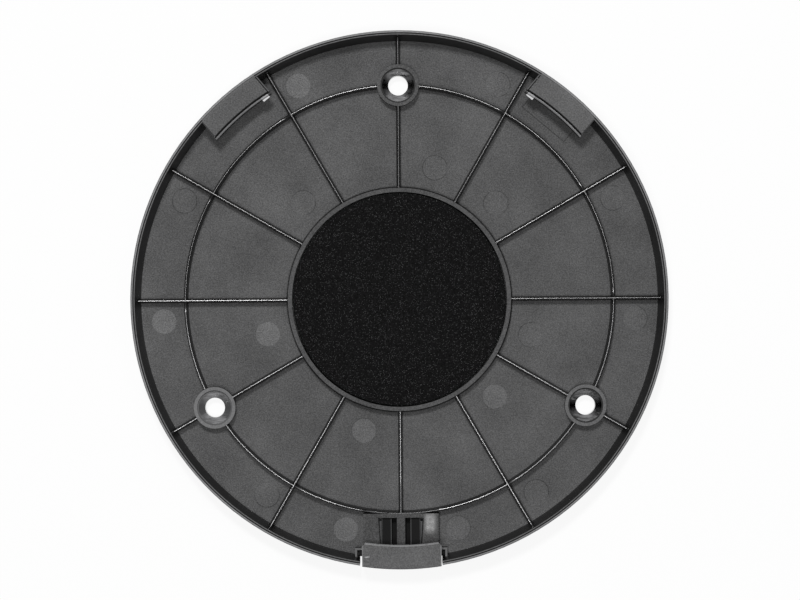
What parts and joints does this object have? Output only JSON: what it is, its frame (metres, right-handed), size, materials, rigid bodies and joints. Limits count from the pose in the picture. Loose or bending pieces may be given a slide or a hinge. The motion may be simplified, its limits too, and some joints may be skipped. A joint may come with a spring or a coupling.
{
  "type": "clip-on mounting plate",
  "caption": "Round ribbed plastic mounting plate with countersunk screw bosses, fixed tabs, a rocking release latch and a foam pad in its centre ring.",
  "frame": {"origin": "centre of the plate's flat back face, on the axis of the rim", "axes": "+Z out of the ribbed inside, towards the device; +Y away from the latch, midway between the two fixed tabs; +X to the right seen from inside"},
  "size_m": [0.13, 0.1302, 0.011],
  "materials": {
    "base_plastic": "fine matt texture, polished rib tops and boss recesses",
    "latch_plastic": "fine matt texture",
    "spring_steel": "black oxide",
    "foam": "fine open-cell foam",
    "film": "satin adhesive film"
  },
  "bodies": {
    "base": {"mounting_base": "base_plastic", "fixed_tabs": "base_plastic", "foam_pad": "foam", "adhesive_film": "film", "latch_spring": "spring_steel"},
    "latch": {"latch": "latch_plastic"}
  },
  "joints": [
    {"name": "latch_rock", "type": "hinge", "parent": "base", "child": "latch", "pos_m": [0, -0.0616, 0.0046], "axis": [1, 0, 0], "range_deg": [0, 12], "stiffness_Nm_per_rad": 0.08, "springref_deg": -5.73, "deforming": ["latch_spring"]}
  ]
}
